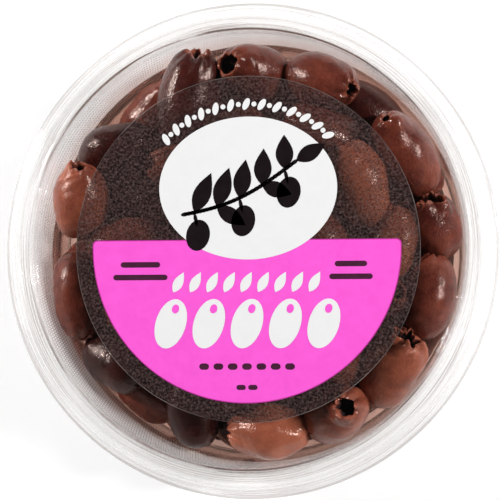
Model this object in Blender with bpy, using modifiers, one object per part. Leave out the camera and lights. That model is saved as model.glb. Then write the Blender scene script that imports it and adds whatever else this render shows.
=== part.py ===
"""A round clear deli pot of pitted black olives, shut by a clear press-on lid with a round film label.

Everything is in metres, +Z up. The pot stands on its foot ring at z = 0, centred on the Z axis.
"""

import math

import bmesh
import bpy
import numpy as np
from mathutils import Euler, Vector

MM = 0.001
GAP = 0.3 * MM
COLLECTION = "olive_pot"

# Lid: one thin shell, given by its upper or outer face
ROUND_STEPS = 52
LID_WALL = 0.6 * MM
LID_TOP = 38.0 * MM
PANEL_TOP = 35.5 * MM
PANEL_RADIUS = 50.6 * MM
RIM_INNER = 52.0 * MM
RIM_OUTER = 55.7 * MM
GROOVE_RADIUS = 53.6 * MM
GROOVE_WIDTH = 1.2 * MM
GROOVE_DEPTH = 0.3 * MM
SKIRT_RADIUS = 57.4 * MM
LIP_RADIUS = 59.0 * MM
LIP_BOTTOM = 31.0 * MM
LUG_COUNT = 6
LUG_FIRST = math.radians(45)
LUG_WIDTH = 3.5 * MM
LUG_DEPTH = 1.2 * MM

# Pot: one thin shell, given by its upper or inner face
POT_WALL = 0.7 * MM
MOUTH_RADIUS = 52.6 * MM
FLANGE_RADIUS = 55.2 * MM
FLANGE_TOP = LID_TOP - GROOVE_DEPTH - LID_WALL - GAP
FLANGE_LIP = 1.3 * MM
LEDGE_TOP = 34.2 * MM
LEDGE_WIDTH = 0.6 * MM
BASE_RADIUS = 49.0 * MM
CORNER_RADIUS = 5.5 * MM
FOOT_INNER = 39.5 * MM
FLOOR_RISE = 1.2 * MM

# Label: a film disc stuck on the lid's panel
LABEL_RADIUS = 41.0 * MM
LABEL_THICKNESS = 0.25 * MM

# Olives: sizes and places in millimetres, because the heap is worked out in them
OLIVE_LENGTH = 20.5
OLIVE_WIDTH = 13.2
OLIVE_SIDES = 9
OLIVE_RINGS = 6
OLIVE_TAPER = 0.04
PIT_DEPTH = 2.6
PIT_RADIUS = 2.2
HEAP_SEED = 11
HEAP_FLOOR = 2.4
HEAP_TOP = 34.4
HEAP_WALL_FOOT = 47.8
HEAP_WALL_SLOPE = 0.108
SETTLE_STEPS = 260
SQUASH = 0.5
CORE_RADIUS = 41.0
CORE_BOTTOM = 8.0
CORE_TOP = 20.0
CORE_SIDES = 24
BURIED_RADIUS = 36.0
BURIED_BOTTOM = 11.0
BURIED_TOP = 17.5

# The olives that show through the lid: x, y, height, heading and tilt in degrees, length, width.
# The heading is the way the pitted end points, and the tilt lifts that end.
SEEN_OLIVES = (
    (-15.3, 40, 26, 82, 5, 23.5, 15.5),
    (-26.5, 34.5, 17, 50, 10, 20, 13),
    (0, 44.2, 25, 170, 20, 19.5, 14),
    (17, 41.8, 24, -20, 5, 20, 13.5),
    (28, 35, 18, -38, 0, 21, 13),
    (36, 24, 24, 120, 5, 23, 14),
    (44, 6, 23, 108, 12, 17, 12.5),
    (43.5, -12, 25, 78, 0, 20.5, 13.5),
    (34, -28.5, 25, 58, 10, 21.5, 14),
    (21.4, -38.6, 25, 28, 30, 20, 13.5),
    (3.8, -43, 24, 180, 0, 19.5, 13.5),
    (-8.5, -43, 13, -60, 0, 20, 13),
    (-15.5, -36, 21, 95, 5, 21, 13),
    (-27, -35, 17, 160, 5, 18, 12.5),
    (-33, -27, 22, 135, 0, 18, 13.5),
    (-42.5, -11, 24.5, -80, 0, 22, 13.5),
    (-44, 13.5, 26.5, 95, 10, 19, 13.5),
    (-35, 26.5, 21, 20, 0, 19, 12.5),
    (26, 16.5, 27, 118, 5, 21.5, 14),
    (34.5, 3.5, 25, 80, 0, 18, 11.5),
    (17, 0, 26, 100, 5, 20, 13),
    (-29.5, 1, 26, 5, 0, 21, 13.5),
    (18, 29.5, 25, 150, 0, 20, 13),
)

# The layers of olives below and behind those: height, how many, and the radius that they reach
HIDDEN_LAYERS = (
    (9.0, 22, 43.0),
    (16.5, 14, 40.0),
    (25.5, 11, 30.0),
)


def heading_axis(heading, tilt):
    """The unit vector of an olive's axis, towards its pitted end."""
    turn, lift = math.radians(heading), math.radians(tilt)
    flat = math.cos(lift)
    return np.array((flat * math.cos(turn), flat * math.sin(turn), math.sin(lift)))


def hidden_olives(draw):
    """Olives spread evenly over each layer on a sunflower spiral, with headings drawn at random."""
    golden = math.pi * (3 - math.sqrt(5))
    for height, count, reach in HIDDEN_LAYERS:
        for index in range(count):
            radius = reach * math.sqrt((index + 0.5) / count)
            turn = index * golden + height
            heading = draw.uniform(0, 360)
            tilt = draw.uniform(-25, 25)
            length = OLIVE_LENGTH * draw.uniform(0.9, 1.1)
            width = OLIVE_WIDTH * draw.uniform(0.94, 1.05)
            yield radius * math.cos(turn), radius * math.sin(turn), height, heading, tilt, length, width


def push_apart(balls, radii, owner):
    """How far each ball has to move so that no two olives are pressed together by more than SQUASH."""
    apart = balls[:, None] - balls[None, :]
    distance = np.linalg.norm(apart, axis=2) + 1e-9
    overlap = radii[:, None] + radii[None, :] - SQUASH - distance
    overlap[owner[:, None] == owner[None, :]] = 0
    overlap = np.clip(overlap, 0, None)
    return (apart / distance[:, :, None] * overlap[:, :, None]).sum(axis=1) * 0.35


def push_inside(balls, radii):
    """How far each ball has to move to be inside the pot and under the lid."""
    push = np.zeros_like(balls)
    push[:, 2] += np.clip(HEAP_FLOOR + radii - balls[:, 2], 0, None)
    push[:, 2] -= np.clip(balls[:, 2] + radii - HEAP_TOP, 0, None)
    reach = np.linalg.norm(balls[:, :2], axis=1) + 1e-9
    wall = HEAP_WALL_FOOT + HEAP_WALL_SLOPE * balls[:, 2]
    excess = np.clip(reach + radii - wall, 0, None)
    push[:, :2] -= balls[:, :2] / reach[:, None] * excess[:, None]
    return push


def settled_olives():
    """Every olive as (centre, axis, length, width), moved until they lie beside and on each other.

    An olive is tested as a row of five balls inside it, carried by the two ends of its axis.
    """
    draw = np.random.RandomState(HEAP_SEED)
    rows = list(SEEN_OLIVES) + list(hidden_olives(draw))
    count = len(rows)
    centre = np.array([row[:3] for row in rows], float)
    axis = np.array([heading_axis(row[3], row[4]) for row in rows])
    length = np.array([row[5] for row in rows])
    width = np.array([row[6] for row in rows])
    half = length / 2
    reach = (half**2 - (width / 2) ** 2) / half
    start = np.stack((centre - axis * reach[:, None], centre + axis * reach[:, None]), axis=1)
    ends = start.copy()
    steps = np.linspace(0, 1, 5)
    along = (2 * steps - 1)[None, :] * reach[:, None]
    radii = width[:, None] / 2 * np.sqrt(1 - along**2 / (half**2 - (width / 2) ** 2)[:, None])
    owner = np.repeat(np.arange(count), len(steps))
    loose = np.where(np.arange(count) < len(SEEN_OLIVES), 0.25, 1.0)[:, None, None]
    for _ in range(SETTLE_STEPS):
        balls = ends[:, :1] * (1 - steps)[None, :, None] + ends[:, 1:] * steps[None, :, None]
        flat = balls.reshape(-1, 3)
        apart = push_apart(flat, radii.reshape(-1), owner).reshape(count, len(steps), 3)
        inside = push_inside(flat, radii.reshape(-1)).reshape(count, len(steps), 3)
        push = apart * loose + inside
        near = (push * (1 - steps)[None, :, None]).sum(axis=1)
        far = (push * steps[None, :, None]).sum(axis=1)
        ends += np.stack((near, far), axis=1) * 0.5
        ends[:, :, 2] -= 0.02 * loose[:, :, 0]
        ends += (start - ends) * (1 - loose) * 0.02
        middle = ends.mean(axis=1)
        axis = ends[:, 1] - ends[:, 0]
        axis /= np.linalg.norm(axis, axis=1)[:, None]
        ends = np.stack((middle - axis * reach[:, None], middle + axis * reach[:, None]), axis=1)
    return list(zip(ends.mean(axis=1), axis, length, width))


def clear_scene():
    for item in list(bpy.data.objects):
        bpy.data.objects.remove(item, do_unlink=True)


def new_collection(name):
    made = bpy.data.collections.new(name)
    bpy.context.scene.collection.children.link(made)
    return made


def new_object(name, mesh, collection):
    made = bpy.data.objects.new(name, mesh)
    collection.objects.link(made)
    return made


def principled(name, colour, roughness, transmission=0.0):
    """A material of one Principled shader."""
    made = bpy.data.materials.new(name)
    made.use_nodes = True
    shader = made.node_tree.nodes["Principled BSDF"]
    shader.inputs["Base Color"].default_value = (*colour, 1)
    shader.inputs["Roughness"].default_value = roughness
    shader.inputs["Transmission Weight"].default_value = transmission
    made.diffuse_color = (*colour, 1)
    return made


def turned_shell(name, profile, wall, collection):
    """A thin shell turned round Z. The profile is its upper or outer face, and the wall is added behind it."""
    mesh = bpy.data.meshes.new(name)
    points = [(radius, 0, height) for radius, height in profile]
    mesh.from_pydata(points, [(index, index + 1) for index in range(len(points) - 1)], [])
    made = new_object(name, mesh, collection)
    screw = made.modifiers.new("turn", "SCREW")
    screw.axis = "Z"
    screw.steps = ROUND_STEPS
    screw.render_steps = ROUND_STEPS
    screw.use_merge_vertices = True
    screw.merge_threshold = 0.00001
    screw.use_smooth_shade = True
    shell = made.modifiers.new("wall", "SOLIDIFY")
    shell.thickness = wall
    shell.offset = -1
    shell.use_even_offset = True
    return made


def arc(centre, radius, start, end, steps):
    """Points of a round corner in a profile, by angles in degrees from +X."""
    turns = [math.radians(start + (end - start) * step / steps) for step in range(steps + 1)]
    return [(centre[0] + radius * math.cos(turn), centre[1] + radius * math.sin(turn)) for turn in turns]


def pot_profile():
    """From the middle of the floor out, up inside the wall, and over the flange to its lip."""
    ledge_radius = MOUTH_RADIUS - LEDGE_WIDTH
    corner_centre = (BASE_RADIUS - CORNER_RADIUS, POT_WALL + CORNER_RADIUS)
    return [
        (0, POT_WALL + FLOOR_RISE),
        (FOOT_INNER - 1.5 * MM, POT_WALL + FLOOR_RISE),
        (FOOT_INNER, POT_WALL),
        *arc(corner_centre, CORNER_RADIUS, -90, -6, 4),
        (ledge_radius - 0.2 * MM, LEDGE_TOP - 2.5 * MM),
        (ledge_radius, LEDGE_TOP - 0.5 * MM),
        (MOUTH_RADIUS - 0.1 * MM, LEDGE_TOP),
        (MOUTH_RADIUS, FLANGE_TOP - 0.4 * MM),
        (MOUTH_RADIUS + 0.4 * MM, FLANGE_TOP),
        (FLANGE_RADIUS - 0.3 * MM, FLANGE_TOP),
        (FLANGE_RADIUS, FLANGE_TOP - 0.3 * MM),
        (FLANGE_RADIUS + 0.1 * MM, FLANGE_TOP - FLANGE_LIP),
    ]


def lid_profile():
    """From the middle of the panel out, up the recess wall, over the rim and down the skirt to its lip."""
    groove_half = GROOVE_WIDTH / 2
    return [
        (0, PANEL_TOP),
        (PANEL_RADIUS - 0.2 * MM, PANEL_TOP),
        (PANEL_RADIUS + 0.3 * MM, PANEL_TOP + 0.4 * MM),
        (RIM_INNER - 0.4 * MM, LID_TOP - 0.4 * MM),
        (RIM_INNER, LID_TOP),
        (GROOVE_RADIUS - groove_half - 0.3 * MM, LID_TOP),
        (GROOVE_RADIUS - groove_half, LID_TOP - GROOVE_DEPTH),
        (GROOVE_RADIUS + groove_half, LID_TOP - GROOVE_DEPTH),
        (GROOVE_RADIUS + groove_half + 0.3 * MM, LID_TOP),
        (RIM_OUTER, LID_TOP),
        (RIM_OUTER + 0.5 * MM, LID_TOP - 0.5 * MM),
        (RIM_OUTER + 0.9 * MM, LID_TOP - 1.9 * MM),
        (SKIRT_RADIUS, LIP_BOTTOM + 1.8 * MM),
        (SKIRT_RADIUS + 0.4 * MM, LIP_BOTTOM + 1.0 * MM),
        (LIP_RADIUS - 0.1 * MM, LIP_BOTTOM + 0.5 * MM),
        (LIP_RADIUS, LIP_BOTTOM),
    ]


def lug(index, collection):
    """A small pointed lug, a diamond in plan, that stands on the panel against the recess wall."""
    work = bmesh.new()
    bmesh.ops.create_cone(work, segments=4, radius1=1, radius2=1, depth=1, cap_ends=True)
    size = Vector((LUG_WIDTH / 2, LUG_DEPTH / 2, LID_TOP - PANEL_TOP))
    bmesh.ops.scale(work, vec=size, verts=work.verts)
    turn = LUG_FIRST + index * 2 * math.pi / LUG_COUNT
    middle = PANEL_RADIUS + 0.1 * MM
    height = (LID_TOP + PANEL_TOP) / 2 - 0.35 * MM
    place = Vector((middle * math.sin(turn), middle * math.cos(turn), height))
    bmesh.ops.rotate(work, matrix=Euler((0, 0, -turn)).to_matrix(), verts=work.verts)
    bmesh.ops.translate(work, vec=place, verts=work.verts)
    mesh = bpy.data.meshes.new(f"lug_{index + 1}")
    work.to_mesh(mesh)
    work.free()
    made = new_object(mesh.name, mesh, collection)
    made.hide_render = True
    made.display_type = "WIRE"
    return made


def make_pot(collection):
    pot = turned_shell("pot", pot_profile(), POT_WALL, collection)
    pot.data.materials.append(principled("clear_pot", (0.86, 0.87, 0.87), 0.08, 0.9))
    return pot


def make_lid(collection, cutters):
    lid = turned_shell("lid", lid_profile(), LID_WALL, collection)
    lid.data.materials.append(principled("clear_lid", (0.9, 0.91, 0.92), 0.06, 0.9))
    for index in range(LUG_COUNT):
        lug(index, cutters)
    join = lid.modifiers.new("lugs", "BOOLEAN")
    join.operation = "UNION"
    join.operand_type = "COLLECTION"
    join.collection = cutters
    return lid


def make_label(collection):
    """A thin disc that lies on the panel."""
    work = bmesh.new()
    bmesh.ops.create_cone(
        work,
        segments=ROUND_STEPS,
        radius1=LABEL_RADIUS,
        radius2=LABEL_RADIUS,
        depth=LABEL_THICKNESS,
        cap_ends=True,
    )
    height = PANEL_TOP + GAP + LABEL_THICKNESS / 2
    bmesh.ops.translate(work, vec=Vector((0, 0, height)), verts=work.verts)
    mesh = bpy.data.meshes.new("label")
    work.to_mesh(mesh)
    work.free()
    label = new_object("label", mesh, collection)
    label.data.materials.append(principled("label_film", (0.8, 0.12, 0.55), 0.35))
    return label


def olive_mesh(index, centre, axis, length, width):
    """A slightly egg-shaped olive with few sides, whose end is pushed in where the pit came out."""
    work = bmesh.new()
    bmesh.ops.create_uvsphere(work, u_segments=OLIVE_SIDES, v_segments=OLIVE_RINGS, radius=1)
    top = max(work.verts, key=lambda vert: vert.co.z)
    pit_share = PIT_RADIUS / (width / 2)
    for edge in top.link_edges:
        rim = edge.other_vert(top)
        flat = rim.co.xy.normalized() * pit_share
        rim.co = (flat.x, flat.y, math.sqrt(1 - pit_share**2))
    for vert in work.verts:
        taper = 1 - OLIVE_TAPER * vert.co.z
        vert.co.x *= width / 2 * taper
        vert.co.y *= width / 2 * taper
        vert.co.z *= length / 2
    top.co.z -= PIT_DEPTH
    turn = Vector(axis).to_track_quat("Z", "Y").to_matrix()
    bmesh.ops.rotate(work, matrix=turn, verts=work.verts)
    bmesh.ops.translate(work, vec=Vector(centre), verts=work.verts)
    bmesh.ops.scale(work, vec=Vector((MM, MM, MM)), verts=work.verts)
    mesh = bpy.data.meshes.new(f"olive_{index + 1}")
    work.to_mesh(mesh)
    work.free()
    return mesh


def core_mesh():
    """The inside of the heap, a drum that the olives stand out of."""
    work = bmesh.new()
    bmesh.ops.create_cone(
        work,
        segments=CORE_SIDES,
        radius1=CORE_RADIUS * MM * 0.94,
        radius2=CORE_RADIUS * MM,
        depth=(CORE_TOP - CORE_BOTTOM) * MM,
        cap_ends=True,
    )
    bmesh.ops.translate(work, vec=Vector((0, 0, (CORE_TOP + CORE_BOTTOM) / 2 * MM)), verts=work.verts)
    mesh = bpy.data.meshes.new("olives")
    work.to_mesh(mesh)
    work.free()
    return mesh


def signed_volume(faces):
    """The volume inside a group of triangles, negative for a hollow."""
    return sum(face.verts[0].co.dot(face.verts[1].co.cross(face.verts[2].co)) for face in faces) / 6


def keep_outer_body(mesh):
    """Deletes the closed hollows and loose scraps that the union leaves, and keeps the largest body."""
    work = bmesh.new()
    work.from_mesh(mesh)
    bmesh.ops.triangulate(work, faces=work.faces)
    waiting = set(work.faces)
    groups = []
    while waiting:
        group = {waiting.pop()}
        edge_of_group = list(group)
        while edge_of_group:
            face = edge_of_group.pop()
            for edge in face.edges:
                fresh = [other for other in edge.link_faces if other not in group]
                group.update(fresh)
                edge_of_group.extend(fresh)
        waiting -= group
        groups.append(group)
    body = max(groups, key=signed_volume)
    scraps = [face for face in work.faces if face not in body]
    bmesh.ops.delete(work, geom=scraps, context="FACES")
    work.to_mesh(mesh)
    work.free()


def is_buried(centre):
    """Whether an olive lies so deep in the heap that nothing of it shows."""
    return math.hypot(centre[0], centre[1]) < BURIED_RADIUS and BURIED_BOTTOM < centre[2] < BURIED_TOP


def make_olives(collection):
    """The heap: the olives that show, joined to the core by one union, which is applied."""
    heap = new_object("olives", core_mesh(), collection)
    pieces = new_collection("loose_olives")
    for index, (centre, axis, length, width) in enumerate(settled_olives()):
        if is_buried(centre):
            continue
        new_object(f"loose_olive_{index + 1}", olive_mesh(index, centre, axis, length, width), pieces)
    join = heap.modifiers.new("heap", "BOOLEAN")
    join.operation = "UNION"
    join.operand_type = "COLLECTION"
    join.collection = pieces
    view = bpy.context.evaluated_depsgraph_get()
    joined = bpy.data.meshes.new_from_object(heap.evaluated_get(view))
    heap.modifiers.clear()
    heap.data = joined
    for piece in list(pieces.objects):
        bpy.data.objects.remove(piece, do_unlink=True)
    bpy.data.collections.remove(pieces)
    keep_outer_body(joined)
    joined.materials.clear()
    joined.materials.append(principled("olive_skin", (0.16, 0.05, 0.03), 0.35))
    joined.shade_smooth()
    joined.set_sharp_from_angle(angle=math.radians(40))
    return heap


def main():
    clear_scene()
    part = new_collection(COLLECTION)
    cutters = new_collection("cutters")
    make_pot(part)
    make_lid(part, cutters)
    make_label(part)
    make_olives(part)


main()
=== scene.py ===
"""A clear deli pot of pitted black olives in brine, with a clear lid and a round film label."""
import math

import bmesh
import bpy
import numpy as np
from mathutils import Matrix, Vector


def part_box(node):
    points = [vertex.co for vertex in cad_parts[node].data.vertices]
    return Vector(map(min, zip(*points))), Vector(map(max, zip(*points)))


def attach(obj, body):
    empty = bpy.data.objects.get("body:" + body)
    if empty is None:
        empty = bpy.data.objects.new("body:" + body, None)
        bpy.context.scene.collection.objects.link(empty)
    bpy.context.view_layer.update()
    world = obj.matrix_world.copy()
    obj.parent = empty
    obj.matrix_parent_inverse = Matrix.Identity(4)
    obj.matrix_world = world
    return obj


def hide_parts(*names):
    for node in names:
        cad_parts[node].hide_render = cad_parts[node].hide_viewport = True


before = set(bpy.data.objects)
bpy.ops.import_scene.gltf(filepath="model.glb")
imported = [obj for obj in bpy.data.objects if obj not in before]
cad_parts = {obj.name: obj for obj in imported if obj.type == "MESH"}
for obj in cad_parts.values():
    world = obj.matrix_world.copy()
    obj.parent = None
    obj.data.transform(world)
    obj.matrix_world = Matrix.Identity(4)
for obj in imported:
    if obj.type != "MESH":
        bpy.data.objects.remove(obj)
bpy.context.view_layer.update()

MM = 0.001
BODY = "root"

# Heights and radii of the CAD solids, which the finer shapes below follow
LID_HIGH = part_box("lid")[1]
POT_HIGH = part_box("pot")[1]
LABEL_LOW, LABEL_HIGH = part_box("label")
LIP_RADIUS = LID_HIGH[0]
LID_TOP = LID_HIGH[2]
LABEL_RADIUS = LABEL_HIGH[0]

# Lid, as in the CAD: one thin shell, given by its upper or outer face
LID_WALL = 0.6 * MM
PANEL_TOP = LABEL_LOW[2] - 0.3 * MM
PANEL_RADIUS = 50.6 * MM
RIM_INNER = 52.0 * MM
RIM_OUTER = 55.7 * MM
GROOVE_RADIUS = 53.6 * MM
GROOVE_WIDTH = 1.2 * MM
GROOVE_DEPTH = 0.3 * MM
SKIRT_RADIUS = 57.4 * MM
LIP_BOTTOM = 31.0 * MM
LUG_COUNT = 6
LUG_FIRST = math.radians(45)
LUG_HALF_WIDTH = 1.75 * MM
LUG_DEPTH = 0.6 * MM

# Pot, as in the CAD: one thin shell, given by its upper or inner face
POT_WALL = 0.7 * MM
MOUTH_RADIUS = 52.6 * MM
FLANGE_RADIUS = 55.2 * MM
FLANGE_TOP = POT_HIGH[2]
FLANGE_LIP = 1.3 * MM
LEDGE_TOP = 34.2 * MM
LEDGE_WIDTH = 0.6 * MM
BASE_RADIUS = 49.0 * MM
CORNER_RADIUS = 5.5 * MM
FOOT_INNER = 39.5 * MM
FLOOR_RISE = 1.2 * MM

# How finely the turned shapes are divided
ROUND_STEPS = 216
ROUND_ANGLE = math.radians(14)
LUG_ANGLE = math.radians(0.35)
END_STEP = 0.15 * MM
LONG_STEP = 12 * MM
CORE_SIDES = 48
FILM_RINGS = 44
FILM_SIDES = 120
FILM_EDGE_SIDES = 180

# Brine, and the edge that it draws up the wall
BRINE_LEVEL = 17.6 * MM
BRINE_INTO_WALL = 0.2 * MM
MENISCUS = 0.7 * MM
MENISCUS_RUN = 2.6 * MM
MENISCUS_POWER = 2.2

# Stippled band of fine raised dots on the pot's wall
STIPPLE_PITCH = 0.7 * MM
STIPPLE_RISE = 1.7 * MM
STIPPLE_BOTTOM = 14.0 * MM
STIPPLE_TOP = 33.5 * MM

# Olives, as in the CAD: sizes and places in millimetres
OLIVE_LENGTH = 20.5
OLIVE_WIDTH = 13.2
OLIVE_TAPER = 0.04
HEAP_SEED = 11
HEAP_FLOOR = 2.4
HEAP_TOP = 34.4
HEAP_WALL_FOOT = 47.8
HEAP_WALL_SLOPE = 0.108
HEAP_BALLS = 5
SETTLE_STEPS = 260
SQUASH = 0.5
SEEN_LOOSE = 0.25
PUSH_SHARE = 0.35
SINK_STEP = 0.02
RETURN_SHARE = 0.02

# The dark mass that the olives lie round, painted shade that stands for the depth of the heap, wider than the
# core in the CAD, in millimetres
CORE_RADIUS = 43.0
CORE_TOP = 17.0
CORE_FOOT_RADIUS = 46.9
CORE_FOOT_BOTTOM = 4.0
CORE_FOOT_TOP = 7.0

# How far the olives of the scene may reach, in millimetres
OLIVE_TOP = 34.8
WALL_FOOT = 48.1
WALL_SLOPE = 0.1086

# The olives that show through the lid, in millimetres and degrees: x, y, height, heading and tilt of the
# pitted end, length, width, tone (0 is nearly black), the hole's radius, its raggedness, the end's curl
SEEN_OLIVES = (
    (-15.3, 40, 26, 82, 5, 23.5, 15.5, 0.18, 2.6, 1.2, 10),
    (-26.5, 34.5, 17, 50, 10, 20, 13, 0.45, 1.8, 0.4, 10),
    (0, 44.2, 25, 170, 20, 19.5, 14, 0.40, 2.9, 0.5, 25),
    (17, 41.8, 24, -20, 5, 20, 13.5, 0.42, 2.0, 1.2, 25),
    (28, 35, 18, -38, 0, 21, 13, 0.1, 2.0, 0.3, 0),
    (36, 24, 24, 120, 5, 23, 14, 0.42, 0.9, 0.3, 40),
    (44, 6, 23, 108, 12, 17, 12.5, 0.38, 2.8, 1.2, 34),
    (43.5, -12, 25, 78, 0, 20.5, 13.5, 0.40, 1.5, 0.4, 0),
    (34, -28.5, 25, 58, 10, 21.5, 14, 0.70, 2.7, 1.4, 15),
    (21.4, -38.6, 25, 28, 30, 20, 13.5, 0.62, 2.6, 0.6, 48),
    (3.8, -43, 24, 180, 0, 19.5, 13.5, 0.92, 2.0, 1.0, 0),
    (-8.5, -43, 13, -60, 0, 20, 13, 0.1, 2.0, 0.3, 0),
    (-15.5, -36, 21, 95, 5, 21, 13, 0.04, 1.5, 0.3, 0),
    (-27, -35, 17, 160, 5, 18, 12.5, 0.34, 2.8, 1.6, 30),
    (-33, -27, 22, 135, 0, 18, 13.5, 0.09, 1.8, 0.4, 0),
    (-42.5, -11, 24.5, -80, 0, 22, 13.5, 0.42, 2.0, 0.4, 0),
    (-44, 13.5, 26.5, 95, 10, 19, 13.5, 0.68, 2.0, 0.7, 20),
    (-35, 26.5, 21, 20, 0, 19, 12.5, 0.08, 1.8, 0.4, 0),
    (26, 16.5, 27, 118, 5, 21.5, 14, 0.9, 1.8, 0.3, 0),
    (34.5, 3.5, 25, 80, 0, 18, 11.5, 0.75, 2.0, 0.4, 0),
    (17, 0, 26, 100, 5, 20, 13, 0.6, 2.0, 0.6, 0),
    (-29.5, 1, 26, 5, 0, 21, 13.5, 0.5, 2.0, 0.3, 0),
    (18, 29.5, 25, 150, 0, 20, 13, 0.45, 2.0, 0.3, 0),
)

# The layers of olives below and behind those: height, how many, and the radius that they reach
HIDDEN_LAYERS = (
    (9.0, 22, 43.0),
    (16.5, 14, 40.0),
    (25.5, 11, 30.0),
)

# Spans from which the hidden olives are drawn
HIDDEN_TILT = (-25, 25)
HIDDEN_LENGTH = (0.9, 1.1)
HIDDEN_WIDTH = (0.94, 1.05)
HIDDEN_LOOKS = ((0.05, 0.75), (1.5, 2.4), (0.2, 0.9), (0, 20))

# Sides and rings of an olive's mesh, and the height from which it is the finer one, in millimetres
FINE_MESH = (56, 40)
COARSE_MESH = (40, 26)
FINE_FROM = 20

# The pit hole's rows below its lip: share of the lip's radius, depth in millimetres, flesh, where 2 is the
# hole's painted shade
PIT_ROWS = ((0.95, -0.02, 1), (0.87, 0.25, 1), (0.84, 0.9, 1.3), (0.95, 2.0, 2), (1.0, 3.6, 2), (0.7, 5.0, 2))

# Label print: places and sizes in millimetres, from the label's middle
PRINT_STEP = 0.03
FIELD_RADIUS = 36.55
FIELD_CENTRE_X = -0.25
FIELD_CENTRE_Y = 0.4
FIELD_TOP_Y = 2.0
FIELD_CORNER = 1.1
FIELD_EDGE = 0.22
OVAL = (0.2, 14.4, 21.2, 16.9)

# Sprig: the stem's start, run, rise, sag and steps; leaves by length, shortening, width and lean
STEM = (-15.5, -6.2, 27, 12.5, 2.4, 30)
STEM_DOT = (0.95, 0.5)
LEAF_STEPS = (3, 9, 15, 21, 27)
UPPER_LEAF = (10.2, 0.5, 4.2, math.radians(55))
LOWER_LEAF = (8.6, 0.4, 3.8, math.radians(-50))
END_LEAF = (8.0, 3.8, math.radians(30))
STALK = (3.6, 0.9, math.radians(-78))
FRUIT = (0.9, -5.4, 2.8, 3.7, math.radians(-12))

# Arch: first and last angle, count, gap from the oval, dot's radius, leaf's size and lean
ARCH = (math.radians(38), math.radians(144), 25, 3.0, 0.6, (1.5, 0.75), math.radians(65))

# White rows, by count, first x, pitch and y, and the sizes of what stands in them
WHITE_OLIVES = (5, -18.2, 9.1, -17.6)
WHITE_OLIVE = (3.6, 6.0)
WHITE_PIT = (1.15, 3.5, 0.85, 1.1)
WHITE_LEAN = math.radians(-18)
WHITE_LEAVES = (9, -17.6, 4.05, -10.2)
WHITE_LEAF = (5.4, 2.3, math.radians(62))

# Dark bars, by x, y, length and height, and the row of dashes
DARK_BARS = (
    (-25.5, -3.6, 9.5, 1.3),
    (-25.5, -6.6, 13.0, 1.3),
    (24.6, -3.6, 7.6, 1.3),
    (24.6, -6.6, 10.2, 1.3),
    (-1.4, -32.6, 2.2, 1.2),
    (1.4, -32.6, 2.2, 1.2),
)
DASHES = (7, -10.2, 3.4, -27.7, 2.3, 1.5)

# The film's cut edge, drawn as a painted highlight; and, in millimetres, how near an olive lies where the
# film looks clearer
EDGE_WIDTH = 0.12 * MM
EDGE_INSET = 0.03 * MM
EDGE_LOW = 0.01 * MM
EDGE_HIGH = 0.05 * MM
CONTACT_FULL = 0.8
CONTACT_FADE = 2.6
FAR = 99.0

# The way to the pot wall's shaded side, towards the lower left of the photo
SHADED_SIDE = (-0.77, -0.64)

# Colours, as linear red, green and blue
PLASTIC = (0.98, 0.98, 0.98)
MILK = (0.88, 0.87, 0.865)
RIM_TINT = (0.997, 0.996, 0.995)
RIM_SHADE = (0.983, 0.978, 0.975)
# Painted shade on the rim's far and near sides
RIM_PAINTED_SHADE = (0.942, 0.934, 0.931)
# Painted fine dark lines that stand for the rim's refraction
RIM_PAINTED_LINES = (0.70, 0.66, 0.645)
# Painted dark line at the rim's inner edge, the olives' brown refracted in the recess wall
RIM_EDGE_PAINTED = (0.30, 0.20, 0.17)
# Painted shade: the grey outline along the lid's outer edge
LIP_EDGE_SHADE = (0.78, 0.765, 0.755)
PANEL_TINT = (0.988, 0.986, 0.985)
LID_SHADOW = (0.97, 0.97, 0.97)
POT_TINT = (0.985, 0.975, 0.972)
POT_LOW_TINT = (0.93, 0.83, 0.80)
POT_SHADE = (0.70, 0.64, 0.62)
POT_STREAK = (0.68, 0.61, 0.59)
POT_FOOT = (0.96, 0.94, 0.93)
POT_MOUTH = (0.97, 0.965, 0.96)
POT_SHADOW = (0.94, 0.94, 0.94)
BRINE_TINTS = ((0.70, 0.45, 0.38), (0.6, 0.38, 0.31))
MURK_TINTS = ((0.62, 0.36, 0.29), (0.75, 0.5, 0.42))
BRINE_SHADOW = (0.60, 0.42, 0.36)
SKIN = (
    (0.0, (0.009, 0.0025, 0.0026)),
    (0.28, (0.062, 0.011, 0.0075)),
    (0.5, (0.14, 0.031, 0.018)),
    (1.0, (0.37, 0.108, 0.058)),
)
SKIN_GLOSS = (1.0, 0.76, 0.68)
TORN_FLESH = ((0.10, 0.022, 0.014), (0.34, 0.095, 0.055))
# Painted shade deep in the pit holes
PIT_PAINTED_SHADE = (0.03, 0.017, 0.017)
# Painted shade: the near-black of the dark core inside the heap
CORE_PAINTED_SHADE = ((0.010, 0.005, 0.005), (0.03, 0.012, 0.010))
SPECKS = ((0.42, (0.010, 0.005, 0.005)), (0.66, (0.12, 0.075, 0.07)))
FILM_SHADOW = (0.86, 0.84, 0.84)
FLOOR_GREYS = ((0.46, 0.46, 0.46), (0.5, 0.5, 0.5))
INKS = {
    "ink_white": ((0.71, 0.71, 0.71), (0.73, 0.73, 0.725)),
    "ink_pink": ((0.79, 0.087, 0.55), (0.835, 0.10, 0.595)),
    "ink_plum": ((0.42, 0.03, 0.26), (0.5, 0.04, 0.3)),
    "ink_dark": ((0.006, 0.0035, 0.004), (0.009, 0.005, 0.006)),
    "ink_brown": ((0.045, 0.010, 0.028), (0.06, 0.014, 0.036)),
    # The lighter ink of the film's cut edge is a painted highlight
    "film_edge_highlight": ((0.04, 0.03, 0.03), (0.26, 0.22, 0.21)),
}

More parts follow.
